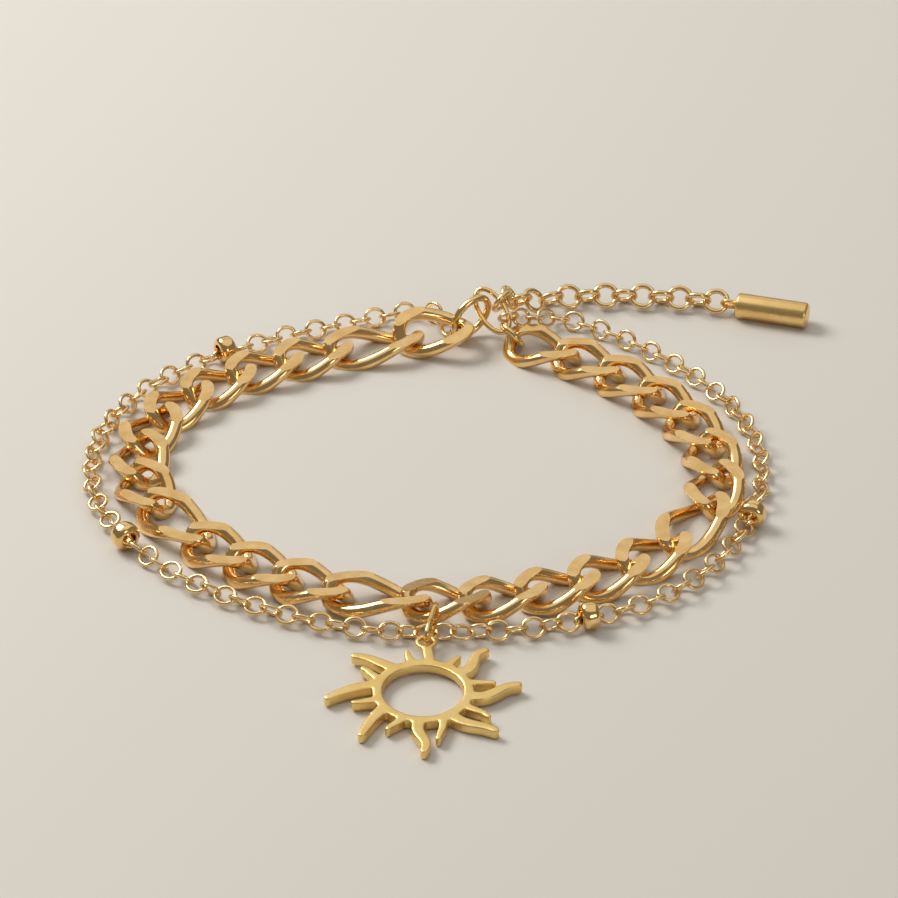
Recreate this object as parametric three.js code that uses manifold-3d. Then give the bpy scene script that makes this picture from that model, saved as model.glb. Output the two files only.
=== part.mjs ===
// Layered bracelet: a figaro chain with a fine satellite chain beside it, a sun pendant in front,
// and an extender chain with a cylinder tag at the closure. It lies open on a flat surface.
// Units are millimetres and degrees. +Z is up and the pendant points to -Y.

import * as THREE from 'three';
import { mergeVertices } from 'three/addons/utils/BufferGeometryUtils.js';
import Module from 'manifold-3d';

const wasm = await Module();
wasm.setup();

// ---- Main chain ----
const MAIN_LINKS = 27;
const LONG_LINKS = [1, 9, 13, 19];
const SHORT_PITCH = 5.0;
const LONG_PITCH = 7.0;
const MAIN_WIRE = 1.3;
const MAIN_WIDTH = 5.6;
const MAIN_HEIGHT = 1.9;
const LINK_PLAY = 0.3;
const LINK_TWIST = 45;
const LINK_ROUNDNESS = 2.6;
const MAIN_STEPS = 16;
const WIRE_SIDES = 6;

// The loop in plan: its radius at each polar angle is a mean radius and a few waves round the loop.
const MAIN_LOOP = {
  mean: 23.39,
  waves: [
    { count: 2, cos: 2.23, sin: -0.26 },
    { count: 3, cos: -0.41, sin: -0.02 },
    { count: 4, cos: 0.55, sin: -0.38 },
  ],
};
const MAIN_START = 82.5;
const HALVINGS = 40;
// The first link is nearly flat and tips up on its inner edge to meet the closure ring.
const FIRST_LINK = { x: 0.23, y: 21.69, z: 1.72, heading: 182.4, tip: 3.5, roll: 16.6, twist: 36 };
// The jump ring under the chain lifts the outer side of the links next to it.
const LIFTED_LINKS = [
  { link: 11, roll: 1 },
  { link: 12, roll: 3.8 },
  { link: 13, roll: 6.5 },
  { link: 14, roll: 9.2 },
  { link: 15, roll: 6.5 },
  { link: 16, roll: 3.8 },
  { link: 17, roll: 1 },
];

// ---- Satellite chain ----
const SATELLITE_LOOP = {
  mean: 28.02,
  waves: [
    { count: 1, cos: 0.25, sin: 0.45 },
    { count: 2, cos: 2.01, sin: 0.05 },
    { count: 3, cos: -0.69, sin: -0.22 },
    { count: 4, cos: 0.23, sin: -0.26 },
    { count: 5, cos: 0.07, sin: 0.14 },
    { count: 6, cos: -0.01, sin: 0.15 },
  ],
};
const SATELLITE_START = 91;
const SATELLITE_END = 424;
const SATELLITE_DIAMETER = 1.5;
const SATELLITE_SIDES = 8;
const SATELLITE_STEP = 4.4;
const SATELLITE_OFFSET = 3.8;
const OFFSET_BLEND = 0.2;
const BEAD_ANGLES = [135.3, 203.4, 300, 344];
const BEAD_DIAMETER = 2.5;
const BEAD_LENGTH = 1.6;
const BEAD_BORE = 0.9;
const BEAD_SIDES = 14;
const SMALL_TURN = 0.01;
const PIECE_GAP = 0.3;

// ---- Sun pendant ----
const SUN_CENTRE = { x: -0.51, y: -33.8 };
const SUN_THICKNESS = 0.9;
const SUN_HOLE_RADIUS = 3.4;
const SUN_RING_RADIUS = 4.25;
const SUN_TILT = 1;
const SUN_SEGMENTS = 40;
const FLAME_ROOT = 3.9;
const LONG_FLAME = { root: 1.15, middle: 0.98, tip: 0.72, steps: 8 };
const SMALL_FLAME = { root: 0.85, middle: 0.68, tip: 0.5, steps: 4 };
const TIP_STEPS = 4;
// Each flame starts at one polar angle and ends at another. Its sway is how far it bends aside between.
const FLAMES = [
  { shape: LONG_FLAME, from: 128.4, to: 140, sway: 0.6, reach: 7.55 },
  { shape: SMALL_FLAME, from: 154.7, to: 148.6, sway: 1, reach: 5.95 },
  { shape: LONG_FLAME, from: 166.2, to: 186.2, sway: -0.1, reach: 7.95 },
  { shape: SMALL_FLAME, from: 197.1, to: 194.7, sway: -0.5, reach: 5.95 },
  { shape: LONG_FLAME, from: 215.9, to: 228.8, sway: -0.3, reach: 7.6 },
  { shape: SMALL_FLAME, from: 245, to: 240.1, sway: 0.6, reach: 5.75 },
  { shape: LONG_FLAME, from: 266.2, to: 271, sway: -2.4, reach: 7.85 },
  { shape: SMALL_FLAME, from: 295, to: 281.6, sway: 0.6, reach: 6.4 },
  { shape: LONG_FLAME, from: 306.5, to: 319.1, sway: -1.3, reach: 7.9 },
  { shape: SMALL_FLAME, from: 331.6, to: 328, sway: -0.9, reach: 6.4 },
  { shape: LONG_FLAME, from: 351, to: 366.5, sway: -2.6, reach: 8 },
  { shape: SMALL_FLAME, from: 376.6, to: 371.2, sway: 0.3, reach: 6 },
  { shape: LONG_FLAME, from: 399.1, to: 406.9, sway: -3, reach: 7.65 },
  { shape: SMALL_FLAME, from: 419.7, to: 417.1, sway: -0.5, reach: 5.45 },
  { shape: SMALL_FLAME, from: 465.3, to: 464.3, sway: -0.6, reach: 5.5 },
];
const EYELET = { x: 0.22, y: 6.75, hole: 0.58, radius: 0.95, thickness: 0.42, segments: 16 };
const NECK = { x: 0.55, y: 3.9, width: 0.9 };

// ---- Jump rings, closure and extender ----
const PENDANT_RING = { x: 0.16, y: -24.78, length: 5.1, height: 2.4, wire: 0.5, roundness: 3.3, turn: 80 };
// The closure ring is an oval that hooks the first link. The end ring joins it to the link ring,
// which hooks the last link. Each ring turns about its own X, then Y, then Z.
const CLOSURE_RINGS = [
  { name: 'closure_ring', x: 3.76, y: 23.43, z: 2.32, halfLength: 2.10, halfWidth: 1.60, wire: 0.7,
    lean: 88, tip: 41, turn: -149 },
  { name: 'end_ring', x: 5.75, y: 23.42, z: 2.96, halfLength: 2.55, halfWidth: 1.22, wire: 0.5,
    lean: 31, tip: 26, turn: -57 },
  { name: 'link_ring', x: 7.64, y: 21.45, z: 1.46, halfLength: 1.33, halfWidth: 1.30, wire: 0.55,
    lean: 124, tip: 9, turn: -52 },
];
const RING_STEPS = 14;
const SAMPLES_PER_LINK = 100;

const EXTENDER = { links: 14, pitch: 1.765, diameter: 2.66, wire: 0.52 };
// The extender's first link hooks the end ring and its second starts the walk along the path.
const EXTENDER_HOOK = { x: 6.70, y: 24.42, z: 3.39, lean: 33, tip: -62, turn: -75 };
const EXTENDER_SECOND = { x: 7.45, y: 26.01, z: 2.80, lean: -32, tip: 49, turn: -50 };
// It comes down beside the closure and then lies straight.
const EXTENDER_PATH = [
  { x: 7.45, y: 26.01, z: 2.8 },
  { x: 8.35, y: 27.1, z: 1.9 },
  { x: 9.9, y: 28.1, z: 1.25 },
  { x: 12.3, y: 28.85, z: 1.15 },
  { x: 15.5, y: 29.15, z: 1.15 },
  { x: 18.95, y: 29.15, z: 1.15 },
  { x: 22.5, y: 28.85, z: 1.15 },
  { x: 26.0, y: 28.4, z: 1.15 },
  { x: 30.5, y: 27.4, z: 1.15 },
];
const TAG = { length: 7.0, diameter: 2.45, edge: 0.25, heading: -17, sides: 16, eye: 1.8, eyeWire: 0.4,
  eyePlay: 0.1 };

const GOLD = 0xd6a548;
const PALE_GOLD = 0xdcb263;
const SATIN_GOLD = 0xd2a24c;
const POLISHED = 0.18;
const SATIN = 0.42;

// ---- Solids ----
const radians = THREE.MathUtils.degToRad;

function toSolid(geometry) {
  const bare = geometry.clone();
  bare.deleteAttribute('normal');
  bare.deleteAttribute('uv');
  const merged = mergeVertices(bare, 1e-4);
  return new wasm.Manifold(new wasm.Mesh({
    numProp: 3,
    vertProperties: new Float32Array(merged.attributes.position.array),
    triVerts: new Uint32Array(merged.index.array),
  }));
}

function toGeometry(solid) {
  const mesh = solid.getMesh();
  const geometry = new THREE.BufferGeometry();
  geometry.setAttribute('position', new THREE.BufferAttribute(mesh.vertProperties, 3));
  geometry.setIndex(new THREE.BufferAttribute(mesh.triVerts, 1));
  geometry.computeVertexNormals();
  return geometry;
}

function joined(solids) {
  return solids.reduce((whole, next) => whole.add(next));
}

// ---- Curves in plan ----
function loopRadius(loop, angle) {
  return loop.waves.reduce((sum, wave) => {
    const phase = wave.count * angle;
    return sum + wave.cos * Math.cos(phase) + wave.sin * Math.sin(phase);
  }, loop.mean);
}

function polar(radius, angle) {
  return new THREE.Vector2(radius * Math.cos(angle), radius * Math.sin(angle));
}

function mainPoint(angle) {
  return polar(loopRadius(MAIN_LOOP, angle), angle);
}

// The satellite chain keeps to its own loop, but never closer than the offset to the main chain.
function satellitePoint(angle) {
  const own = loopRadius(SATELLITE_LOOP, angle);
  const nearest = loopRadius(MAIN_LOOP, angle) + SATELLITE_OFFSET;
  const blend = Math.hypot(own - nearest, OFFSET_BLEND);
  return polar((own + nearest + blend) / 2, angle);
}

// Walks along the main loop and returns the angle whose chord from the last one is the pitch.
function nextAngle(angle, pitch) {
  const start = mainPoint(angle);
  let low = angle;
  let high = angle + 2 * pitch / MAIN_LOOP.mean;
  for (let i = 0; i < HALVINGS; i++) {
    const middle = (low + high) / 2;
    if (mainPoint(middle).distanceTo(start) < pitch) {
      low = middle;
    } else {
      high = middle;
    }
  }
  return (low + high) / 2;
}

// ---- Rings and links ----
// A ring of round wire about an oval centreline in the XY plane, twisted about its long axis.
function wireRing({ halfLength, halfWidth, wire, steps, sides, roundness = 2, twist = 0 }) {
  const geometry = new THREE.TorusGeometry(1, wire / 2, sides, steps);
  const position = geometry.getAttribute('position');
  const point = new THREE.Vector3();
  const axis = new THREE.Vector3(1, 0, 0);
  for (let i = 0; i < position.count; i++) {
    point.fromBufferAttribute(position, i);
    const turn = Math.atan2(point.y, point.x);
    const across = Math.hypot(point.x, point.y) - 1;
    const c = Math.abs(Math.cos(turn));
    const s = Math.abs(Math.sin(turn));
    const outward = new THREE.Vector2(
      c ** (2 - 2 / roundness) / halfLength,
      s ** (2 - 2 / roundness) / halfWidth,
    ).normalize();
    const x = (halfLength * c ** (2 / roundness) + across * outward.x) * Math.sign(Math.cos(turn));
    const y = (halfWidth * s ** (2 / roundness) + across * outward.y) * Math.sign(Math.sin(turn));
    point.set(x, y, point.z).applyAxisAngle(axis, -radians(twist) * x / halfLength);
    position.setXYZ(i, point.x, point.y, point.z);
  }
  return toSolid(geometry);
}

function mainLinkSolid(pitch, twist) {
  const link = wireRing({
    halfLength: (pitch + MAIN_WIRE + LINK_PLAY) / 2,
    halfWidth: (MAIN_WIDTH - MAIN_WIRE) / 2,
    wire: MAIN_WIRE,
    steps: MAIN_STEPS,
    sides: WIRE_SIDES,
    roundness: LINK_ROUNDNESS,
    twist,
  });
  const filed = toSolid(new THREE.BoxGeometry(4 * pitch, 4 * MAIN_WIDTH, MAIN_HEIGHT));
  return link.intersect(filed);
}

// ---- Sun pendant ----
// A flame sways to one side and back on its way out, and ends round.
function flameOutline({ shape, from, to, sway, reach }) {
  const centreline = [];
  for (let i = 0; i <= shape.steps; i++) {
    const t = i / shape.steps;
    const angle = radians(THREE.MathUtils.lerp(from, to, t) + sway * Math.sin(2 * Math.PI * t));
    centreline.push(polar(THREE.MathUtils.lerp(FLAME_ROOT, reach, t), angle));
  }
  const left = [];
  const right = [];
  centreline.forEach((point, i) => {
    const before = centreline[Math.max(i - 1, 0)];
    const after = centreline[Math.min(i + 1, shape.steps)];
    const along = after.clone().sub(before).normalize();
    const t = i / shape.steps;
    const width = t < 0.5
      ? THREE.MathUtils.lerp(shape.root, shape.middle, 2 * t)
      : THREE.MathUtils.lerp(shape.middle, shape.tip, 2 * t - 1);
    const side = new THREE.Vector2(-along.y, along.x).multiplyScalar(width / 2);
    left.push(point.clone().add(side));
    right.unshift(point.clone().sub(side));
  });
  const tip = centreline[shape.steps];
  const round = [];
  for (let k = 1; k < TIP_STEPS; k++) {
    const corner = left[shape.steps].clone().sub(tip);
    round.push(corner.rotateAround(new THREE.Vector2(), -Math.PI * k / TIP_STEPS).add(tip));
  }
  return new THREE.Shape([...right, ...left, ...round]);
}

function discShape(x, y, radius) {
  const shape = new THREE.Shape();
  shape.absarc(x, y, radius, 0, 2 * Math.PI);
  return shape;
}

function slab(shape, thickness, segments, bottom = 0) {
  const geometry = new THREE.ExtrudeGeometry(shape, {
    depth: thickness,
    bevelEnabled: false,
    curveSegments: segments,
  });
  return toSolid(geometry.translate(0, 0, bottom));
}

function sunSolid() {
  const flames = FLAMES.map((flame) => slab(flameOutline(flame), SUN_THICKNESS, 1));
  const disc = slab(discShape(0, 0, SUN_RING_RADIUS), SUN_THICKNESS, SUN_SEGMENTS);
  const neck = slab(new THREE.Shape([
    new THREE.Vector2(NECK.x - NECK.width / 2, NECK.y),
    new THREE.Vector2(NECK.x + NECK.width / 2, NECK.y),
    new THREE.Vector2(EYELET.x + NECK.width / 2, EYELET.y),
    new THREE.Vector2(EYELET.x - NECK.width / 2, EYELET.y),
  ]), SUN_THICKNESS, 1);
  const eyeletBottom = SUN_THICKNESS - EYELET.thickness;
  const eyeletDisc = discShape(EYELET.x, EYELET.y, EYELET.radius);
  const eyelet = slab(eyeletDisc, EYELET.thickness, EYELET.segments, eyeletBottom);
  const cutDepth = 3 * SUN_THICKNESS;
  const cutBottom = -SUN_THICKNESS;
  const sunHole = slab(discShape(0, 0, SUN_HOLE_RADIUS), cutDepth, SUN_SEGMENTS, cutBottom);
  const eyeletHole = slab(
    discShape(EYELET.x, EYELET.y, EYELET.hole), cutDepth, EYELET.segments, cutBottom,
  );
  const underEyelet = slab(eyeletDisc, SUN_THICKNESS, EYELET.segments, eyeletBottom - SUN_THICKNESS);
  return joined([disc, ...flames, neck, eyelet])
    .subtract(sunHole)
    .subtract(eyeletHole)
    .subtract(underEyelet);
}

// ---- Satellite chain ----
function satelliteStretch(from, to) {
  const length = (to - from) * SATELLITE_LOOP.mean;
  const steps = Math.max(2, Math.round(length / SATELLITE_STEP));
  const points = [];
  for (let i = 0; i <= steps; i++) {
    const point = satellitePoint(THREE.MathUtils.lerp(from, to, i / steps));
    points.push(new THREE.Vector3(point.x, point.y, SATELLITE_DIAMETER / 2));
  }
  const section = new THREE.Shape();
  for (let i = 0; i < SATELLITE_SIDES; i++) {
    const corner = polar(SATELLITE_DIAMETER / 2, (i + 0.5) * 2 * Math.PI / SATELLITE_SIDES);
    if (i === 0) {
      section.moveTo(corner.x, corner.y);
    } else {
      section.lineTo(corner.x, corner.y);
    }
  }
  section.closePath();
  const tube = new THREE.ExtrudeGeometry(section, {
    steps,
    extrudePath: new THREE.CatmullRomCurve3(points),
  });
  return toSolid(tube);
}

function beadSolid() {
  const radius = BEAD_DIAMETER / 2;
  const bore = BEAD_BORE / 2;
  const half = BEAD_LENGTH / 2;
  const shoulder = (radius + bore) / 2;
  const profile = [
    new THREE.Vector2(bore, -half),
    new THREE.Vector2(shoulder, -half),
    new THREE.Vector2(radius, -half / 2),
    new THREE.Vector2(radius, half / 2),
    new THREE.Vector2(shoulder, half),
    new THREE.Vector2(bore, half),
    new THREE.Vector2(bore, -half),
  ];
  return toSolid(new THREE.LatheGeometry(profile, BEAD_SIDES));
}

// ---- Extender ----
// Walks along the path from one link's centre to the next, each a pitch away from the last.
function extenderCentres() {
  const path = new THREE.CatmullRomCurve3(EXTENDER_PATH.map(({ x, y, z }) => new THREE.Vector3(x, y, z)));
  const samples = path.getSpacedPoints(EXTENDER.links * SAMPLES_PER_LINK);
  const centres = [samples[0]];
  samples.forEach((point) => {
    const last = centres[centres.length - 1];
    if (centres.length < EXTENDER.links - 1 && point.distanceTo(last) >= EXTENDER.pitch) {
      centres.push(point);
    }
  });
  return centres;
}

function poseMatrix(row) {
  const turned = new THREE.Euler(radians(row.lean), radians(row.tip), radians(row.turn), 'ZYX');
  return new THREE.Matrix4().makeRotationFromEuler(turned).setPosition(row.x, row.y, row.z);
}

// Each link stands square to the one before it, seen along the chain.
function squareTo(place, along, centre) {
  const normal = along.clone().cross(new THREE.Vector3().setFromMatrixColumn(place, 2)).normalize();
  const side = normal.clone().cross(along);
  return new THREE.Matrix4().makeBasis(along, side, normal).setPosition(centre);
}

function extenderPlaces(centres) {
  const places = [poseMatrix(EXTENDER_HOOK), poseMatrix(EXTENDER_SECOND)];
  for (let i = 1; i < centres.length; i++) {
    const along = centres[i].clone().sub(centres[i - 1]).normalize();
    places.push(squareTo(places[i], along, centres[i]));
  }
  return places;
}

function roundRing(diameter, wire) {
  const radius = (diameter - wire) / 2;
  return wireRing({ halfLength: radius, halfWidth: radius, wire, steps: RING_STEPS, sides: WIRE_SIDES });
}

// The tag is a plain round bar with an eye soldered to its end. The last link passes through the eye.
function tagSolid(lastPlace) {
  const radius = TAG.diameter / 2;
  const profile = [
    new THREE.Vector2(0, 0),
    new THREE.Vector2(radius - TAG.edge, 0),
    new THREE.Vector2(radius, TAG.edge),
    new THREE.Vector2(radius, TAG.length - TAG.edge),
    new THREE.Vector2(radius - TAG.edge, TAG.length),
    new THREE.Vector2(0, TAG.length),
  ];
  const along = new THREE.Vector3(Math.cos(radians(TAG.heading)), Math.sin(radians(TAG.heading)), 0);
  const reach = (EXTENDER.diameter + TAG.eye) / 2 - EXTENDER.wire - TAG.eyeWire - TAG.eyePlay;
  const centre = new THREE.Vector3().setFromMatrixPosition(lastPlace).addScaledVector(along, reach);
  centre.z = radius;
  const eye = roundRing(TAG.eye, TAG.eyeWire).transform(squareTo(lastPlace, along, centre).elements);
  const start = centre.clone().addScaledVector(along, (TAG.eye - TAG.eyeWire) / 2);
  const bar = toSolid(new THREE.LatheGeometry(profile, TAG.sides)
    .rotateZ(-Math.PI / 2)
    .rotateZ(radians(TAG.heading))
    .translate(start.x, start.y, start.z));
  return joined([bar, eye]);
}

// ---- Assembly ----
const group = new THREE.Group();
group.name = 'bracelet';
const loop = new THREE.Group();
group.add(loop);

function addPiece(name, solid, colour, roughness, parent = loop) {
  const material = new THREE.MeshStandardMaterial({ color: colour, roughness, metalness: 1 });
  const mesh = new THREE.Mesh(toGeometry(solid), material);
  mesh.name = name;
  parent.add(mesh);
  return mesh;
}

const twoDigits = (number) => String(number).padStart(2, '0');

const shortLink = mainLinkSolid(SHORT_PITCH, LINK_TWIST);
const longLink = mainLinkSolid(LONG_PITCH, LINK_TWIST);
const firstLink = mainLinkSolid(SHORT_PITCH, FIRST_LINK.twist);
const firstMesh = addPiece('main_link_00', firstLink, GOLD, POLISHED);
firstMesh.rotation.set(
  -radians(FIRST_LINK.roll),
  radians(FIRST_LINK.tip),
  radians(FIRST_LINK.heading),
  'ZYX',
);
firstMesh.position.set(FIRST_LINK.x, FIRST_LINK.y, FIRST_LINK.z);

let jointAngle = nextAngle(radians(MAIN_START), SHORT_PITCH);
for (let i = 1; i < MAIN_LINKS; i++) {
  const long = LONG_LINKS.includes(i);
  const start = mainPoint(jointAngle);
  jointAngle = nextAngle(jointAngle, long ? LONG_PITCH : SHORT_PITCH);
  const end = mainPoint(jointAngle);
  const middle = start.clone().add(end).multiplyScalar(0.5);
  const lifted = LIFTED_LINKS.find((row) => row.link === i);
  const roll = radians(lifted ? lifted.roll : 0);
  const lift = (MAIN_WIDTH / 2 - LINK_PLAY) * Math.sin(roll);
  const mesh = addPiece(`main_link_${twoDigits(i)}`, long ? longLink : shortLink, GOLD, POLISHED);
  mesh.rotation.set(-roll, 0, Math.atan2(end.y - start.y, end.x - start.x), 'ZYX');
  mesh.position.set(middle.x, middle.y, MAIN_HEIGHT / 2 + lift);
}

const stops = BEAD_ANGLES.map(radians);
stops.forEach((angle, i) => {
  const along = satellitePoint(angle + SMALL_TURN).sub(satellitePoint(angle - SMALL_TURN));
  const place = satellitePoint(angle);
  const mesh = addPiece(`satellite_bead_${i + 1}`, beadSolid(), GOLD, POLISHED);
  mesh.rotation.z = along.angle() - Math.PI / 2;
  mesh.position.set(place.x, place.y, BEAD_DIAMETER / 2);
});

// The chain also stops either side of the pendant's jump ring, which it passes through.
const sunStop = Math.atan2(PENDANT_RING.y, PENDANT_RING.x) + 2 * Math.PI;
const cuts = [
  { angle: radians(SATELLITE_START), gap: 0 },
  ...stops.map((angle) => ({ angle, gap: BEAD_LENGTH / 2 + PIECE_GAP })),
  { angle: sunStop, gap: PENDANT_RING.wire + 2 * PIECE_GAP },
  { angle: radians(SATELLITE_END), gap: 0 },
].sort((a, b) => a.angle - b.angle);
for (let i = 1; i < cuts.length; i++) {
  const radius = SATELLITE_LOOP.mean;
  const from = cuts[i - 1].angle + cuts[i - 1].gap / radius;
  const to = cuts[i].angle - cuts[i].gap / radius;
  addPiece(`satellite_chain_${i}`, satelliteStretch(from, to), PALE_GOLD, POLISHED);
}

const sunTilt = new THREE.Group();
const sunReach = Math.max(...FLAMES.map((flame) => flame.reach));
sunTilt.position.set(SUN_CENTRE.x, SUN_CENTRE.y - sunReach, 0);
sunTilt.rotation.x = radians(SUN_TILT);
loop.add(sunTilt);
const sun = addPiece('sun_pendant', sunSolid(), SATIN_GOLD, SATIN, sunTilt);
sun.position.y = sunReach;

const pendantRing = addPiece('pendant_jump_ring', wireRing({
  halfLength: (PENDANT_RING.length - PENDANT_RING.wire) / 2,
  halfWidth: (PENDANT_RING.height - PENDANT_RING.wire) / 2,
  wire: PENDANT_RING.wire,
  steps: RING_STEPS,
  sides: WIRE_SIDES,
  roundness: PENDANT_RING.roundness,
}), GOLD, POLISHED);
pendantRing.rotation.set(Math.PI / 2, 0, radians(PENDANT_RING.turn), 'ZYX');
pendantRing.position.set(PENDANT_RING.x, PENDANT_RING.y, PENDANT_RING.height / 2);

CLOSURE_RINGS.forEach((row) => {
  const ring = wireRing({ ...row, steps: RING_STEPS, sides: WIRE_SIDES });
  const mesh = addPiece(row.name, ring, GOLD, POLISHED);
  mesh.rotation.set(radians(row.lean), radians(row.tip), radians(row.turn), 'ZYX');
  mesh.position.set(row.x, row.y, row.z);
});

const places = extenderPlaces(extenderCentres());
const extenderLink = roundRing(EXTENDER.diameter, EXTENDER.wire);
const extenderSolid = joined(places.map((place) => extenderLink.transform(place.elements)));
addPiece('extender_chain', extenderSolid, PALE_GOLD, POLISHED);
addPiece('extender_end_bar', tagSolid(places[places.length - 1]), GOLD, POLISHED);

// The bracelet rests on Z = 0 with its middle over the origin.
const box = new THREE.Box3().setFromObject(group, true);
loop.position.set(
  -(box.min.x + box.max.x) / 2,
  -(box.min.y + box.max.y) / 2,
  -box.min.z,
);
group.updateMatrixWorld(true);

export default group;
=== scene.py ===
"""A layered bracelet lying open: a figaro chain, a fine satellite chain, a sun pendant,
an extender chain with a round bar, and the rings that close it. Units are metres."""
import math
import random

import bmesh
import bpy
import numpy as np
from mathutils import Euler, Matrix, Vector


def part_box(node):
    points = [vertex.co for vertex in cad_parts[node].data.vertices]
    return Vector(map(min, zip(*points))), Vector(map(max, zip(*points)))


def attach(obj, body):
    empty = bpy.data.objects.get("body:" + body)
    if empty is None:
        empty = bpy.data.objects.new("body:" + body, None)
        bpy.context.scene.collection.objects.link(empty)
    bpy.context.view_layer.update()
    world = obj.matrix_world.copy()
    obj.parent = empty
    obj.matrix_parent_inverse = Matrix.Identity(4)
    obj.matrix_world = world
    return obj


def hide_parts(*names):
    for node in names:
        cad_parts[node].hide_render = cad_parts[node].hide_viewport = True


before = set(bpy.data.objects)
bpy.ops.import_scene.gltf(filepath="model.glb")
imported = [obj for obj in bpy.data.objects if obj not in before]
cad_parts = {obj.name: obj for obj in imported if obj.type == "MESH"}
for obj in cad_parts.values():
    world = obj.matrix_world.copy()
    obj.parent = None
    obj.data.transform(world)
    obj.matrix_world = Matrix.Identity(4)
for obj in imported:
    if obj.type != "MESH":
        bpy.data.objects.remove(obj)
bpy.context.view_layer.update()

MM = 0.001
UP = Vector((0, 0, 1))
SEED = 11
random.seed(SEED)

# ---- Sizes of the fine pieces. Angles are in degrees. ----
CURB_LINKS = 27
CURB_WIRE = 1.3 * MM
CURB_ROUNDNESS = 2.6
CURB_TWIST = 45
FIRST_LINK_TWIST = 36
FILED_EDGE = {"radius": 0.05 * MM, "segments": 2}
# Any face of a curb link that is larger than this is filed flat.
FILED_FACE = 0.6 * MM ** 2

RINGS = {
    "closure_ring": {"wire": 0.7 * MM, "roundness": 2.0},
    "end_ring": {"wire": 0.5 * MM, "roundness": 2.0},
    "link_ring": {"wire": 0.55 * MM, "roundness": 2.0},
    "pendant_jump_ring": {"wire": 0.5 * MM, "roundness": 3.3},
}

FINE_LINK = {
    "length": 2.24 * MM,
    "width": 2.02 * MM,
    "wire": 0.35 * MM,
    "pitch": 1.52 * MM,
    "height": 0.87 * MM,
}
# Links lie back and stand up by turns. Where they pass through the jump ring they lie flatter.
LYING_ROLL = 30
STANDING_ROLL = -52
FLAT_ROLL = 8
FLAT_REACH = 6 * MM
ROLL_PLAY = 12

BEAD_BORE = 0.64 * MM
BEAD_STEPS = 40
BEAD_EDGES = {
    "outside": {"radius": 0.54 * MM, "segments": 7},
    "inside": {"radius": 0.1 * MM, "segments": 3},
}
# Each bead sits on one long link, which the fine links hook on either side. Two hooked ends
# share the thickness of both their wires.
CORE_LINK = {"half_length": 1.25 * MM, "half_width": 0.42 * MM}
CORE_REACH = CORE_LINK["half_length"] + FINE_LINK["length"] / 2 - 1.5 * FINE_LINK["wire"]

# The fine chain's stretches, each from one ring or bead to the next.
STRETCHES = [
    {"tubes": [1], "start": "closure_ring", "end": "satellite_bead_1"},
    {"tubes": [2], "start": "satellite_bead_1", "end": "satellite_bead_2"},
    {"tubes": [3, 4], "start": "satellite_bead_2", "end": "satellite_bead_3"},
    {"tubes": [5], "start": "satellite_bead_3", "end": "satellite_bead_4"},
    {"tubes": [6], "start": "satellite_bead_4", "end": "end_ring"},
]

# The sun is made even in grains of this size, in millimetres, and then softened.
SUN_GRAIN = 0.09
SUN_SOFTENING = {"rounds": 6, "factor": 0.5}

# The jump ring's middle, from the middle of the loop.
JUMP_RING_PLACE = Vector((0.16, -24.78, 0)) * MM

# The extender's places are in millimetres from the middle of the loop.
EXTENDER = {"links": 14, "pitch": 1.765 * MM, "diameter": 2.66 * MM, "wire": 0.52 * MM}
EXTENDER_HOOKS = [
    {"place": (6.70, 24.42, 3.39), "lean": 33, "tip": -62, "turn": -75},
    {"place": (7.45, 26.01, 2.8), "lean": -32, "tip": 49, "turn": -50},
]
EXTENDER_ROUTE = [
    (7.45, 26.01, 2.8),
    (8.35, 27.1, 1.9),
    (9.9, 28.1, 1.25),
    (12.3, 28.85, 1.15),
    (15.5, 29.15, 1.15),
    (18.95, 29.15, 1.15),
    (22.5, 28.85, 1.15),
    (26.0, 28.4, 1.15),
    (30.5, 27.4, 1.15),
]
BAR = {"length": 7.0 * MM, "diameter": 2.45 * MM, "sides": 64, "eye": 1.8 * MM}
BAR_EDGE = {"radius": 0.34 * MM, "segments": 4}
EYE_WIRE = 0.4 * MM

# ---- How finely things are made and measured ----
WIRE_DETAIL = {
    "curb": {"steps": 72, "sides": 20},
    "ring": {"steps": 48, "sides": 12},
    "fine": {"steps": 20, "sides": 8},
    "core": {"steps": 24, "sides": 8},
    "extender": {"steps": 32, "sides": 10},
    "eye": {"steps": 32, "sides": 10},
}
# Edges past the first angle are shaded sharp. The bar's rims are those past the second.
SHARP_ANGLE = 50
RIM_ANGLE = 60
# A tube's sections lie further apart than this, seen from the middle of the loop.
SECTION_GAP = 1.5
SPAN_POINTS = 60
RING_POINTS = 72
WALKING_STEP = 0.02 * MM
MERGE_REACH = 1e-6
CUT_REACH = 1e-7
# Points that are alike to so many decimals are one point.
POINT_DECIMALS = 7

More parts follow.
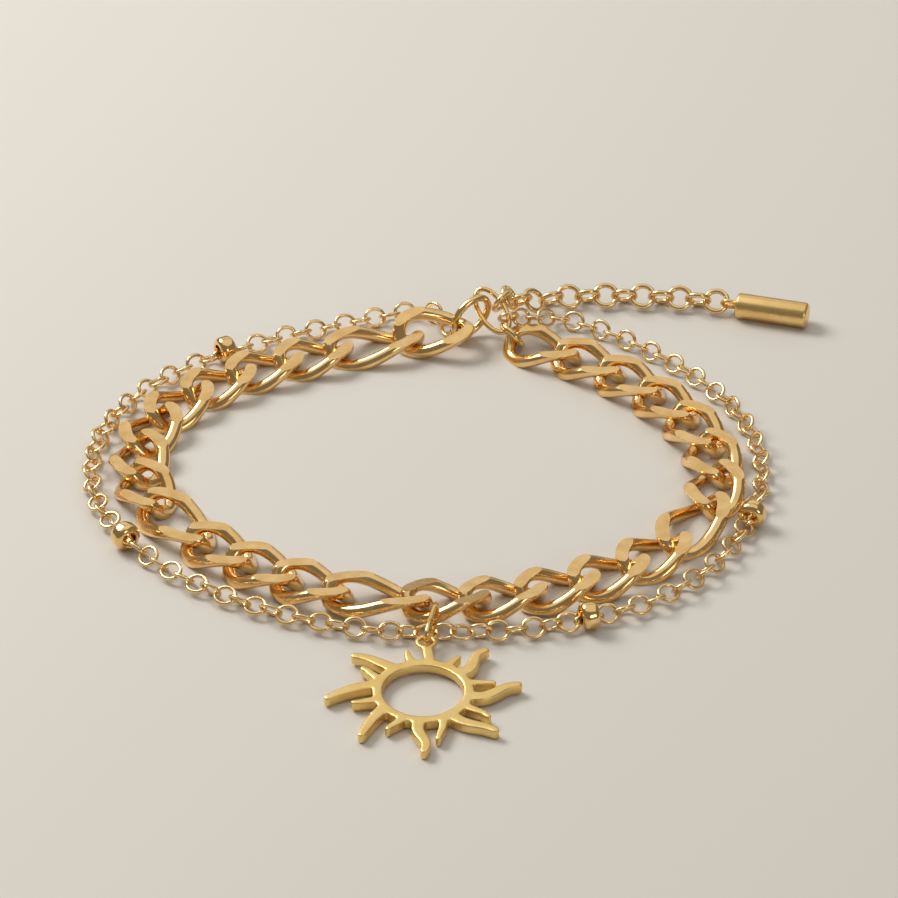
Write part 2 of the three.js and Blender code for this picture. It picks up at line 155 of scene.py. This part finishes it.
# ---- Finishes ----
# Each has two tints, a range of roughness, and the scales of its clouds and marks. A stretch
# under 1 draws the marks out along X, which for a wire's own marks is the length of the link.
FINISHES = {
    "chain": {
        "name": "Polished chain gold", "deep": (0.84, 0.53, 0.20), "light": (0.98, 0.69, 0.33),
        "roughness": (0.12, 0.24), "clouds": 700, "marks": 3500, "stretch": 0.12, "relief": 0.1,
        "along_wire": True,
    },
    "fine": {
        "name": "Fine chain gold", "deep": (0.86, 0.60, 0.27), "light": (0.97, 0.73, 0.41),
        "roughness": (0.15, 0.28), "clouds": 520, "marks": 3200, "stretch": 3, "relief": 0.2,
        "along_wire": False,
    },
    "bead": {
        "name": "Bright bead gold", "deep": (0.88, 0.59, 0.23), "light": (0.95, 0.68, 0.31),
        "roughness": (0.08, 0.17), "clouds": 300, "marks": 2200, "stretch": 8, "relief": 0.12,
        "along_wire": False,
    },
    "bar": {
        "name": "Turned bar gold", "deep": (0.86, 0.57, 0.21), "light": (0.95, 0.67, 0.30),
        "roughness": (0.24, 0.36), "clouds": 500, "marks": 3500, "stretch": 0.12, "relief": 0.08,
        "along_wire": True,
    },
    "satin": {
        "name": "Satin cast gold", "deep": (0.88, 0.62, 0.22), "light": (0.97, 0.72, 0.31),
        "roughness": (0.30, 0.44), "clouds": 520, "marks": 4200, "stretch": 1, "relief": 0.5,
        "along_wire": False,
    },
    "ring": {
        "name": "Ring wire gold", "deep": (0.86, 0.57, 0.21), "light": (0.96, 0.69, 0.31),
        "roughness": (0.12, 0.24), "clouds": 500, "marks": 3500, "stretch": 0.3, "relief": 0.1,
        "along_wire": True,
    },
}
# The tints and the gloss run from end to end over this part of the noise.
NOISE_LOW, NOISE_HIGH = 0.3, 0.7
CLOUD_NOISE = {"Detail": 3}
MARK_NOISE = {"Detail": 4, "Roughness": 0.65}
RELIEF_DEPTH = 0.02 * MM
# The marks of each wire are shifted by up to this much, so that no two are alike.
GRAIN_OFFSET = 50 * MM

# ---- Setting ----
FLOOR = {"half_size": 1.5, "colour": (0.71, 0.685, 0.645, 1), "roughness": 0.5}
DAYLIGHT = (1.0, 0.97, 0.92)
LIGHTS = [
    {"name": "Window", "place": (-0.30, 0.22, 0.34), "size": (0.26, 0.20), "power": 1.8,
     "colour": DAYLIGHT},
    {"name": "Ceiling", "place": (0.0, 0.12, 0.62), "size": (1.0, 0.8), "power": 1.45,
     "colour": DAYLIGHT},
    {"name": "Back panel", "place": (0.02, 0.62, 0.36), "size": (0.95, 0.30), "power": 0.5,
     "colour": DAYLIGHT},
    {"name": "Front fill", "place": (0.30, -0.40, 0.22), "size": (0.16, 0.16), "power": 0.25,
     "colour": (1.0, 0.96, 0.90)},
]
ROOM_COLOUR = (0.2, 0.188, 0.168, 1)
CAMERA = {
    "from_loop": Vector((1.65, -296.12, 198.7)) * MM,
    "elevation": 33.5,
    "lens": 157.9,
    "sensor": 36,
    "nearest": 0.01,
}


# ---- Places taken from the frame ----
def triangles(node):
    """The corners of a CAD node's triangles."""
    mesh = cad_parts[node].data
    points = np.zeros(len(mesh.vertices) * 3)
    mesh.vertices.foreach_get("co", points)
    corners = np.zeros(len(mesh.polygons) * 3, int)
    mesh.polygons.foreach_get("vertices", corners)
    return points.reshape(-1, 3)[corners].reshape(-1, 3, 3)


def middle(node):
    """The middle of a node's box."""
    low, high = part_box(node)
    return (low + high) / 2


def facing(x_axis, z_axis, centre):
    """A place at a centre, with its X and Z along two directions square to each other."""
    place = Matrix((x_axis, z_axis.cross(x_axis), z_axis)).transposed().to_4x4()
    place.translation = centre
    return place


def pose(node):
    """The place of a node, with X along it and Z across its thin side, and its size that way."""
    centre = middle(node)
    faces = triangles(node) - np.array(centre)
    sides = faces[:, 1] - faces[:, 0], faces[:, 2] - faces[:, 0]
    areas = np.linalg.norm(np.cross(*sides), axis=1)
    means = faces.mean(axis=1)
    # A triangle spreads as its three corners do and nine times its middle.
    spread = np.einsum("n,nki,nkj->ij", areas, faces, faces)
    spread += 9 * np.einsum("n,ni,nj->ij", areas, means, means)
    axes = np.linalg.eigh(spread)[1][:, ::-1]
    thin = Vector(axes[:, 2])
    if thin.z < 0:
        thin.negate()
    place = facing(Vector(axes[:, 0]), thin, centre)
    reach = faces.reshape(-1, 3) @ np.array(place.to_3x3())
    return place, Vector(reach.max(axis=0) - reach.min(axis=0))


def tube_route(node):
    """The middles of a CAD tube's sections, in order round the loop."""
    points = np.unique(np.round(triangles(node).reshape(-1, 3), POINT_DECIMALS), axis=0)
    outward = points[:, :2] - np.array(loop_middle.xy)
    heading = math.atan2(outward[:, 1].mean(), outward[:, 0].mean())
    angles = (np.arctan2(outward[:, 1], outward[:, 0]) - heading + math.pi) % math.tau
    order = np.argsort(angles)
    breaks = np.where(np.diff(angles[order]) > math.radians(SECTION_GAP))[0] + 1
    return [Vector(group.mean(axis=0)) for group in np.split(points[order], breaks)]


loop_middle = middle("pendant_jump_ring") - JUMP_RING_PLACE
loop_middle.z = 0


# ---- Shapes ----
def wire_ring(half_length, half_width, wire, steps, sides, roundness=2.0, twist=0.0):
    """A ring of round wire about an oval, twisted about its long axis. The roundness is 2 for
    a plain oval and more for one that is nearer to a rectangle."""
    bm = bmesh.new()
    bmesh.ops.create_circle(bm, segments=sides, radius=wire / 2)
    bmesh.ops.rotate(bm, verts=bm.verts, cent=(0, 0, 0),
                     matrix=Matrix.Rotation(math.pi / 2, 3, "X"))
    bmesh.ops.translate(bm, verts=bm.verts, vec=(1, 0, 0))
    bmesh.ops.spin(bm, geom=bm.verts[:] + bm.edges[:], cent=(0, 0, 0), axis=(0, 0, 1),
                   dvec=(0, 0, 0), angle=math.tau, steps=steps, use_merge=True,
                   use_normal_flip=False)
    curve = 2 / roundness
    for vertex in bm.verts:
        turn = math.atan2(vertex.co.y, vertex.co.x)
        across = math.hypot(vertex.co.x, vertex.co.y) - 1
        c, s = abs(math.cos(turn)), abs(math.sin(turn))
        outward = Vector((c ** (2 - curve) / half_length, s ** (2 - curve) / half_width))
        outward.normalize()
        x = math.copysign(half_length * c ** curve + across * outward.x, math.cos(turn))
        y = math.copysign(half_width * s ** curve + across * outward.y, math.sin(turn))
        lean = Matrix.Rotation(-math.radians(twist) * x / half_length, 3, "X")
        vertex.co = lean @ Vector((x, y, vertex.co.z))
    bmesh.ops.recalc_face_normals(bm, faces=bm.faces)
    return bm


def round_off(bm, geom, radius, segments, affect="EDGES"):
    """Rounds edges, or a flat outline's corners."""
    bmesh.ops.bevel(bm, geom=geom, offset=radius, offset_type="OFFSET", segments=segments,
                    profile=0.5, affect=affect, material=-1, clamp_overlap=True)


def file_flat(bm, height):
    """Files both sides of a link flat and breaks the edges that the file leaves."""
    for side in (-1, 1):
        bmesh.ops.bisect_plane(bm, geom=bm.verts[:] + bm.edges[:] + bm.faces[:],
                               dist=CUT_REACH, plane_co=(0, 0, side * height / 2),
                               plane_no=(0, 0, side), clear_outer=True)
        rim = [edge for edge in bm.edges if edge.is_boundary]
        bmesh.ops.holes_fill(bm, edges=rim, sides=0)
        round_off(bm, rim, **FILED_EDGE)
    bmesh.ops.recalc_face_normals(bm, faces=bm.faces)


def lay_grain(bm):
    """Keeps each point's place on the shape before it is moved, so that the polishing marks
    run along the wire."""
    grain = bm.verts.layers.float_vector.new("grain")
    offset = Vector([random.uniform(0, GRAIN_OFFSET) for _ in range(3)])
    for vertex in bm.verts:
        vertex[grain] = vertex.co + offset


def centre_on(bm, node):
    """Moves a shape so that the middle of its box is the middle of the node's box."""
    points = np.array([vertex.co for vertex in bm.verts])
    own = Vector((points.min(axis=0) + points.max(axis=0)) / 2)
    bmesh.ops.translate(bm, verts=bm.verts, vec=middle(node) - own)


def add_copies(bm, shape, places):
    """Adds a shape to a mesh at each place, and frees the shape."""
    pattern = bpy.data.meshes.new("pattern")
    shape.to_mesh(pattern)
    shape.free()
    for place in places:
        one = pattern.copy()
        one.transform(place)
        bm.from_mesh(one)
        bpy.data.meshes.remove(one)
    bpy.data.meshes.remove(pattern)
    return bm


def smooth_route(points, step):
    """Points a step apart along a smooth curve through the given ones."""
    dense = []
    padded = [2 * points[0] - points[1], *points, 2 * points[-1] - points[-2]]
    for a, b, c, d in zip(padded, padded[1:], padded[2:], padded[3:]):
        for k in range(SPAN_POINTS):
            t = k / SPAN_POINTS
            dense.append(0.5 * (2 * b + (c - a) * t + (2 * a - 5 * b + 4 * c - d) * t ** 2
                                + (3 * b - a - 3 * c + d) * t ** 3))
    dense.append(points[-1].copy())
    spans = [(q - p).length for p, q in zip(dense, dense[1:])]
    lengths = np.concatenate([[0], np.cumsum(spans)])
    wanted = np.linspace(0, lengths[-1], max(1, round(lengths[-1] / step)) + 1)
    table = np.array(dense)
    return [Vector([np.interp(w, lengths, table[:, k]) for k in range(3)]) for w in wanted]


def chain_place(centre, along, roll):
    """A link's place: its X runs along the chain and it is rolled about it."""
    along = along.normalized()
    side = UP.cross(along).normalized()
    return facing(along, along.cross(side), centre) @ Matrix.Rotation(math.radians(roll), 4, "X")


def square_to(place, along, centre):
    """The place of a link that stands square to the one before it."""
    along = along.normalized()
    return facing(along, along.cross(place.col[2].xyz).normalized(), centre)


def add_piece(name, bm, finish, slot, *nodes, flats=None):
    """Adds a finished piece. Faces larger than flats keep a crisp outline in the smooth shading."""
    mesh = bpy.data.meshes.new(name)
    bm.to_mesh(mesh)
    bm.free()
    mesh.shade_smooth()
    mesh.set_sharp_from_angle(angle=math.radians(SHARP_ANGLE))
    if flats is not None:
        for face in mesh.polygons:
            if face.area > flats:
                for corner in face.loop_indices:
                    mesh.edges[mesh.loops[corner].edge_index].use_edge_sharp = True
    mesh.materials.append(gold[finish])
    piece = bpy.data.objects.new(name, mesh)
    bpy.context.scene.collection.objects.link(piece)
    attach(piece, "root")
    for node in nodes:
        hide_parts(node)


# ---- Materials ----
def add_node(tree, kind, **values):
    """Adds a shader node and sets the inputs named, with _ for a space."""
    node = tree.nodes.new(kind)
    for name, value in values.items():
        node.inputs[name.replace("_", " ")].default_value = value
    return node


def surface_marks_group():
    """Soft clouds and fine rubbing marks, shared by every gold finish."""
    group = bpy.data.node_groups.new("Gold surface marks", "ShaderNodeTree")
    group.interface.new_socket("Vector", in_out="INPUT", socket_type="NodeSocketVector")
    for name in ("Cloud scale", "Mark scale", "Mark stretch"):
        group.interface.new_socket(name, in_out="INPUT", socket_type="NodeSocketFloat")
    for name in ("Cloud", "Marks"):
        group.interface.new_socket(name, in_out="OUTPUT", socket_type="NodeSocketFloat")
    link = group.links.new
    inside = add_node(group, "NodeGroupInput")
    outside = add_node(group, "NodeGroupOutput")
    cloud = add_node(group, "ShaderNodeTexNoise", **CLOUD_NOISE)
    stretch = add_node(group, "ShaderNodeCombineXYZ", Y=1, Z=1)
    longer = add_node(group, "ShaderNodeVectorMath")
    longer.operation = "MULTIPLY"
    marks = add_node(group, "ShaderNodeTexNoise", **MARK_NOISE)
    link(inside.outputs["Vector"], cloud.inputs["Vector"])
    link(inside.outputs["Cloud scale"], cloud.inputs["Scale"])
    link(inside.outputs["Mark stretch"], stretch.inputs["X"])
    link(inside.outputs["Vector"], longer.inputs[0])
    link(stretch.outputs[0], longer.inputs[1])
    link(longer.outputs[0], marks.inputs["Vector"])
    link(inside.outputs["Mark scale"], marks.inputs["Scale"])
    link(cloud.outputs[0], outside.inputs["Cloud"])
    link(marks.outputs[0], outside.inputs["Marks"])
    return group


def gold_finish(row, marks_group):
    """A plated gold: two tints in soft clouds, gloss that follows fine marks, and the marks
    as a slight relief."""
    material = bpy.data.materials.new(row["name"])
    material.use_nodes = True
    tree = material.node_tree
    link = tree.links.new
    shader = tree.nodes["Principled BSDF"]
    shader.inputs["Metallic"].default_value = 1
    if row["along_wire"]:
        source = add_node(tree, "ShaderNodeAttribute")
        source.attribute_name = "grain"
        place = source.outputs["Vector"]
    else:
        place = add_node(tree, "ShaderNodeTexCoord").outputs["Object"]
    marks = tree.nodes.new("ShaderNodeGroup")
    marks.node_tree = marks_group
    marks.inputs["Cloud scale"].default_value = row["clouds"]
    marks.inputs["Mark scale"].default_value = row["marks"]
    marks.inputs["Mark stretch"].default_value = row["stretch"]
    link(place, marks.inputs["Vector"])
    tint = add_node(tree, "ShaderNodeValToRGB")
    stops = ((NOISE_LOW, row["deep"]), (NOISE_HIGH, row["light"]))
    for element, (position, colour) in zip(tint.color_ramp.elements, stops):
        element.position = position
        element.color = (*colour, 1)
    link(marks.outputs["Cloud"], tint.inputs[0])
    link(tint.outputs[0], shader.inputs["Base Color"])
    smooth, rough = row["roughness"]
    gloss = add_node(tree, "ShaderNodeMapRange", From_Min=NOISE_LOW, From_Max=NOISE_HIGH,
                     To_Min=smooth, To_Max=rough)
    link(marks.outputs["Marks"], gloss.inputs["Value"])
    link(gloss.outputs[0], shader.inputs["Roughness"])
    relief = add_node(tree, "ShaderNodeBump", Strength=row["relief"], Distance=RELIEF_DEPTH)
    link(marks.outputs["Marks"], relief.inputs["Height"])
    link(relief.outputs[0], shader.inputs["Normal"])
    return material


surface_marks = surface_marks_group()
gold = {finish: gold_finish(row, surface_marks) for finish, row in FINISHES.items()}


# ---- Figaro chain ----
def curb_link(size, twist):
    """A twisted link, filed flat on both sides."""
    link = wire_ring((size.x - CURB_WIRE) / 2, (size.y - CURB_WIRE) / 2, CURB_WIRE,
                     **WIRE_DETAIL["curb"], roundness=CURB_ROUNDNESS, twist=twist)
    file_flat(link, size.z)
    return link


def make_main_chain():
    for i in range(CURB_LINKS):
        node = f"main_link_{i:02d}"
        place, size = pose(node)
        link = curb_link(size, FIRST_LINK_TWIST if i == 0 else CURB_TWIST)
        lay_grain(link)
        link.transform(place)
        centre_on(link, node)
        add_piece(f"curb_link_{i:02d}", link, "chain", "chain_gold", node, flats=FILED_FACE)


# ---- Rings ----
def make_rings():
    for node, row in RINGS.items():
        place, size = pose(node)
        ring = wire_ring((size.x - row["wire"]) / 2, (size.y - row["wire"]) / 2, row["wire"],
                         **WIRE_DETAIL["ring"], roundness=row["roundness"])
        lay_grain(ring)
        ring.transform(place)
        add_piece(f"{node}_wire", ring, "ring", "ring_gold", node)


def hook_point(node, start):
    """The point of a ring's centreline nearest to start, and the wire's direction there."""
    place, size = pose(node)
    half = (size - Vector((1, 1, 1)) * RINGS[node]["wire"]) / 2
    turns = [k * math.tau / RING_POINTS for k in range(RING_POINTS)]
    points = [place @ Vector((half.x * math.cos(t), half.y * math.sin(t), 0)) for t in turns]
    k = min(range(RING_POINTS), key=lambda k: (points[k] - start).length)
    return points[k], (points[(k + 1) % RING_POINTS] - points[k - 1]).normalized()


# ---- Satellite chain ----
def fine_link():
    wire = FINE_LINK["wire"]
    return wire_ring((FINE_LINK["length"] - wire) / 2, (FINE_LINK["width"] - wire) / 2, wire,
                     **WIRE_DETAIL["fine"])


def bring_start(route, node):
    """The route with its start brought to a ring's wire or to the link in a bead."""
    if node in RINGS:
        point, _ = hook_point(node, route[0])
        return [point, point.lerp(route[0], 0.5), *route]
    bead = middle(node)
    bead.z = FINE_LINK["height"]
    return [bead + (route[1] - bead).normalized() * CORE_REACH, *route[1:]]


def stretch_route(row):
    """The route of a stretch, through its tubes and out to what it hooks at either end."""
    route = [point for k in row["tubes"] for point in tube_route(f"satellite_chain_{k}")]
    for point in route:
        point.z = FINE_LINK["height"]
    route = bring_start(route, row["start"])
    return bring_start(route[::-1], row["end"])[::-1]


def link_roll(point, standing):
    """How far a link is rolled. Near the pendant's jump ring the links lie flatter."""
    roll = STANDING_ROLL if standing else LYING_ROLL
    flat = FLAT_ROLL - 90 if standing else FLAT_ROLL
    near = max(0, 1 - (point - middle("pendant_jump_ring")).length / FLAT_REACH)
    return roll + (flat - roll) * near + random.uniform(-ROLL_PLAY, ROLL_PLAY)


def stretch_places(route, standing):
    """The places of the fine links along a route, standing up and lying back by turns."""
    points = smooth_route(route, FINE_LINK["pitch"])
    places = []
    for i, point in enumerate(points):
        along = points[min(i + 1, len(points) - 1)] - points[max(i - 1, 0)]
        roll = link_roll(point, standing)
        # A link is lifted where its edge would go under the floor.
        edge = (FINE_LINK["width"] - FINE_LINK["wire"]) / 2 * abs(math.sin(math.radians(roll)))
        point.z = max(point.z, edge + FINE_LINK["wire"] / 2)
        places.append(chain_place(point, along, roll))
        standing = not standing
    return places, standing


def hang_on(place, node):
    """A fine link's place, turned to hang square on a ring's wire."""
    point, wire = hook_point(node, place.translation)
    along = place.col[0].xyz
    return facing(along, (wire - along * wire.dot(along)).normalized(), point)


def bead_shape(size):
    """A round bead with a wide bore: a rounded section turned about X."""
    bm = bmesh.new()
    bmesh.ops.create_grid(bm, x_segments=1, y_segments=1, size=0.5)
    for vertex in bm.verts:
        vertex.co.x *= size.z
        vertex.co.y = BEAD_BORE if vertex.co.y < 0 else size.x / 2
    outside = [vertex for vertex in bm.verts if vertex.co.y > BEAD_BORE]
    round_off(bm, outside, **BEAD_EDGES["outside"], affect="VERTICES")
    inside = [vertex for vertex in bm.verts if vertex.co.y <= BEAD_BORE]
    round_off(bm, inside, **BEAD_EDGES["inside"], affect="VERTICES")
    bmesh.ops.delete(bm, geom=bm.faces[:], context="FACES_ONLY")
    bmesh.ops.spin(bm, geom=bm.verts[:] + bm.edges[:], cent=(0, 0, 0), axis=(1, 0, 0),
                   dvec=(0, 0, 0), angle=math.tau, steps=BEAD_STEPS, use_merge=True,
                   use_normal_flip=False)
    bmesh.ops.recalc_face_normals(bm, faces=bm.faces)
    return bm


def make_bead(node, standing):
    """A bead and the long link through it."""
    place, size = pose(node)
    axis = place.col[2].xyz
    place = chain_place(middle(node), axis, STANDING_ROLL if standing else LYING_ROLL)
    bead = bead_shape(size)
    bead.transform(place)
    core = wire_ring(CORE_LINK["half_length"], CORE_LINK["half_width"], FINE_LINK["wire"],
                     **WIRE_DETAIL["core"])
    place.translation.z = FINE_LINK["height"]
    core.transform(place)
    add_piece(f"{node}_turned", bead, "bead", "bead_gold", node)
    add_piece(f"{node}_core_link", core, "fine", "fine_gold")


def make_satellite_chain():
    standing = False
    for k, row in enumerate(STRETCHES):
        places, standing = stretch_places(stretch_route(row), standing)
        if row["start"] in RINGS:
            places[0] = hang_on(places[0], row["start"])
        if row["end"] in RINGS:
            places[-1] = hang_on(places[-1], row["end"])
        add_piece(f"satellite_links_{k + 1}", add_copies(bmesh.new(), fine_link(), places),
                  "fine", "fine_gold", *[f"satellite_chain_{tube}" for tube in row["tubes"]])
        if row["end"] not in RINGS:
            make_bead(row["end"], standing)
            standing = not standing


# ---- Sun pendant ----
def even_mesh(bm):
    """The shape in millimetres, remade with even faces."""
    bm.transform(Matrix.Scale(1 / MM, 4))
    cast = bpy.data.meshes.new("sun_cast")
    bm.to_mesh(cast)
    bm.free()
    model = bpy.data.objects.new("sun_cast", cast)
    bpy.context.scene.collection.objects.link(model)
    remesh = model.modifiers.new("Even faces", "REMESH")
    remesh.mode = "VOXEL"
    remesh.voxel_size = SUN_GRAIN
    bpy.context.view_layer.update()
    finished = model.evaluated_get(bpy.context.evaluated_depsgraph_get())
    even = bpy.data.meshes.new_from_object(finished)
    bpy.data.objects.remove(model)
    return even


def make_pendant():
    """The cast sun: its plain solid, with the edges and the notches between the flames softened."""
    plain = bmesh.new()
    plain.from_mesh(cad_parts["sun_pendant"].data)
    bmesh.ops.remove_doubles(plain, verts=plain.verts, dist=MERGE_REACH)
    soft = bmesh.new()
    soft.from_mesh(even_mesh(plain))
    for _ in range(SUN_SOFTENING["rounds"]):
        bmesh.ops.smooth_vert(soft, verts=soft.verts, factor=SUN_SOFTENING["factor"],
                              use_axis_x=True, use_axis_y=True, use_axis_z=True)
    soft.transform(Matrix.Scale(MM, 4))
    bmesh.ops.recalc_face_normals(soft, faces=soft.faces)
    add_piece("sun_pendant_cast", soft, "satin", "satin_gold", "sun_pendant")


# ---- Extender ----
def in_loop(place):
    """A place given in millimetres from the middle of the loop."""
    return loop_middle + Vector(place) * MM


def hook_place(row):
    """The place of a link that hangs at the closure."""
    angles = [math.radians(row[key]) for key in ("lean", "tip", "turn")]
    place = Euler(angles, "XYZ").to_matrix().to_4x4()
    place.translation = in_loop(row["place"])
    return place


def extender_places():
    """The two links that hang at the closure, and then links square to each other."""
    centres = smooth_route([in_loop(place) for place in EXTENDER_ROUTE], WALKING_STEP)
    walked = [centres[0]]
    for point in centres:
        if (len(walked) < EXTENDER["links"] - 1
                and (point - walked[-1]).length >= EXTENDER["pitch"]):
            walked.append(point)
    places = [hook_place(row) for row in EXTENDER_HOOKS]
    for a, b in zip(walked, walked[1:]):
        places.append(square_to(places[-1], b - a, b))
    return places


def make_extender():
    places = extender_places()
    radius = (EXTENDER["diameter"] - EXTENDER["wire"]) / 2
    link = wire_ring(radius, radius, EXTENDER["wire"], **WIRE_DETAIL["extender"])
    add_piece("extender_links", add_copies(bmesh.new(), link, places), "fine", "fine_gold",
              "extender_chain")
    make_bar(places[-1])


def make_bar(last_place):
    """A round bar with turned edges and an eye that the last link holds."""
    place, size = pose("extender_end_bar")
    axis = place.col[0].xyz
    if axis.x < 0:
        axis.negate()
    end = middle("extender_end_bar") + axis * size.x / 2
    end.z = BAR["diameter"] / 2
    bar = bmesh.new()
    bmesh.ops.create_cone(bar, cap_ends=True, segments=BAR["sides"], depth=BAR["length"],
                          radius1=BAR["diameter"] / 2, radius2=BAR["diameter"] / 2)
    rims = [edge for edge in bar.edges if edge.calc_face_angle(0) > math.radians(RIM_ANGLE)]
    round_off(bar, rims, **BAR_EDGE)
    bar.transform(Matrix.Rotation(math.pi / 2, 4, "Y"))
    lay_grain(bar)
    bar.transform(chain_place(end - axis * BAR["length"] / 2, axis, 0))
    radius = (BAR["eye"] - EYE_WIRE) / 2
    eye = wire_ring(radius, radius, EYE_WIRE, **WIRE_DETAIL["eye"])
    lay_grain(eye)
    eye_place = square_to(last_place, axis, end - axis * (BAR["length"] + radius))
    add_piece("extender_bar", add_copies(bar, eye, [eye_place]), "bar", "bead_gold",
              "extender_end_bar")


# ---- Setting ----
def make_floor():
    bm = bmesh.new()
    bmesh.ops.create_grid(bm, x_segments=1, y_segments=1, size=FLOOR["half_size"])
    mesh = bpy.data.meshes.new("Floor")
    bm.to_mesh(mesh)
    bm.free()
    floor = bpy.data.objects.new("Floor", mesh)
    bpy.context.scene.collection.objects.link(floor)
    material = bpy.data.materials.new("Pale floor")
    material.use_nodes = True
    shader = material.node_tree.nodes["Principled BSDF"]
    shader.inputs["Base Color"].default_value = FLOOR["colour"]
    shader.inputs["Roughness"].default_value = FLOOR["roughness"]
    mesh.materials.append(material)


def make_lights():
    for row in LIGHTS:
        light = bpy.data.lights.new(row["name"], "AREA")
        light.shape = "RECTANGLE"
        light.size, light.size_y = row["size"]
        light.energy = row["power"]
        light.color = row["colour"]
        lamp = bpy.data.objects.new(row["name"], light)
        lamp.location = row["place"]
        lamp.rotation_euler = (-Vector(row["place"])).to_track_quat("-Z", "Y").to_euler()
        bpy.context.scene.collection.objects.link(lamp)
    world = bpy.data.worlds.new("Room")
    world.use_nodes = True
    world.node_tree.nodes["Background"].inputs["Color"].default_value = ROOM_COLOUR
    bpy.context.scene.world = world
    bpy.context.scene.view_settings.view_transform = "Standard"


def make_camera():
    camera = bpy.data.cameras.new("Camera")
    camera.lens = CAMERA["lens"]
    camera.sensor_width = CAMERA["sensor"]
    camera.clip_start = CAMERA["nearest"]
    viewer = bpy.data.objects.new("Camera", camera)
    viewer.location = loop_middle + CAMERA["from_loop"]
    viewer.rotation_euler = (math.radians(90 - CAMERA["elevation"]), 0, 0)
    bpy.context.scene.collection.objects.link(viewer)
    bpy.context.scene.camera = viewer


make_main_chain()
make_rings()
make_satellite_chain()
make_pendant()
make_extender()
make_floor()
make_lights()
make_camera()
